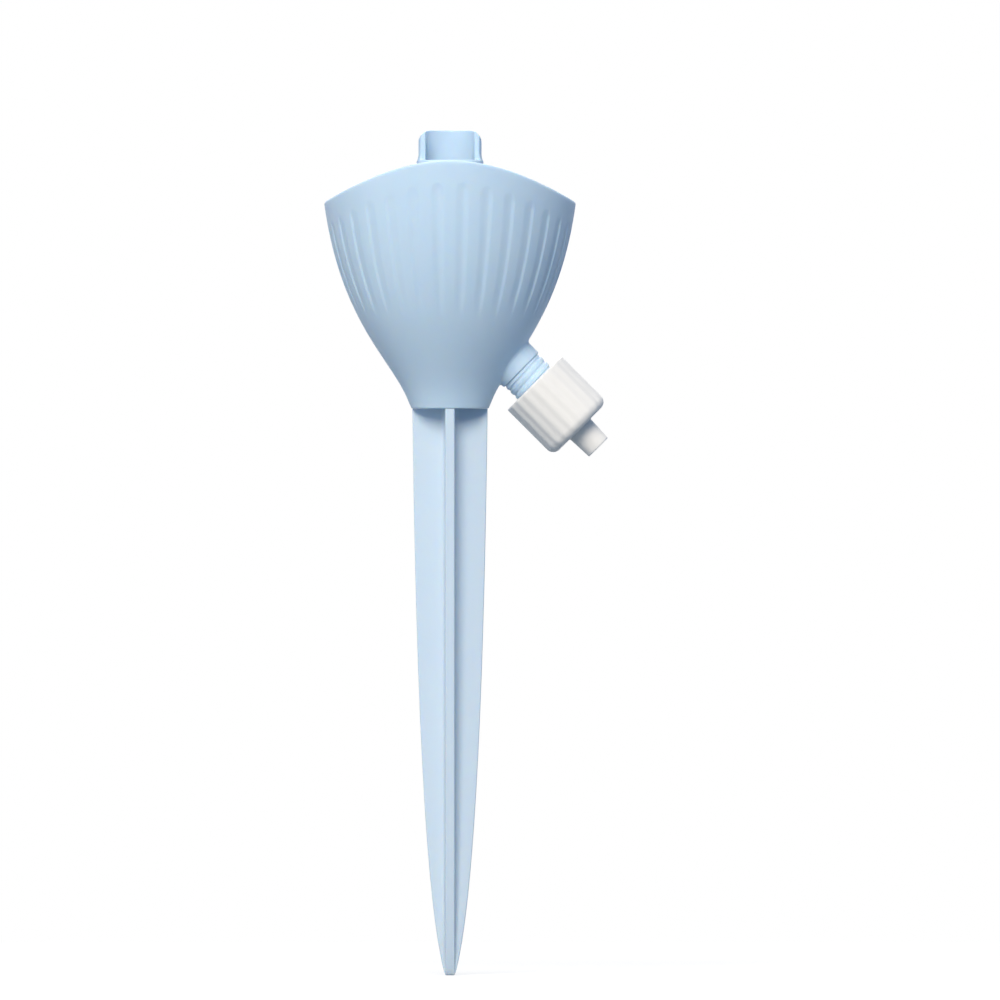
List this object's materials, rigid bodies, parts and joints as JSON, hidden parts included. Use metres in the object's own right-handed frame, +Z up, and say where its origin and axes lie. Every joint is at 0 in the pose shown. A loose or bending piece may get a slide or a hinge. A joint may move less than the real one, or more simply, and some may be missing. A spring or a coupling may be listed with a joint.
{
  "type": "drip watering spike",
  "caption": "Fluted bell cup for an upturned bottle on a crossed-fin soil spike, with a screw cap that sets how fast water drips from its side nozzle.",
  "frame": {"origin": "centre of the spike's blunt tip, on the bell's axis", "axes": "+Z up the bell's axis, +X toward the side that the drip valve points to, -Y the side that the riser's window faces"},
  "size_m": [0.0594, 0.0544, 0.177],
  "materials": {
    "blue_plastic": "satin moulded pale blue",
    "white_plastic": "satin moulded white",
    "silicone": "soft translucent grey"
  },
  "bodies": {
    "holder": {"ground_spike": "blue_plastic", "bell_cup": "blue_plastic", "bottle_socket": "blue_plastic", "bottle_gasket": "silicone", "intake_riser": "blue_plastic", "drip_spigot": "blue_plastic", "spigot_o_ring": "silicone", "metering_pin": "white_plastic"},
    "washer": {"seat_washer": "silicone"},
    "cap": {"drip_cap": "white_plastic"}
  },
  "joints": [
    {"name": "cap_advance", "type": "slide", "parent": "holder", "child": "washer", "axis": [0.7071, 0, -0.7071], "range_m": [-0.003, 0.0015]},
    {"name": "cap_turn", "type": "hinge", "parent": "washer", "child": "cap", "pos_m": [0, 0, 0.1417], "axis": [0.7071, 0, -0.7071], "range_deg": [-720.5, 360.5]}
  ],
  "couplings": [
    {"joint": "cap_turn", "follows": "cap_advance", "rad_per_m": 4188.8}
  ]
}
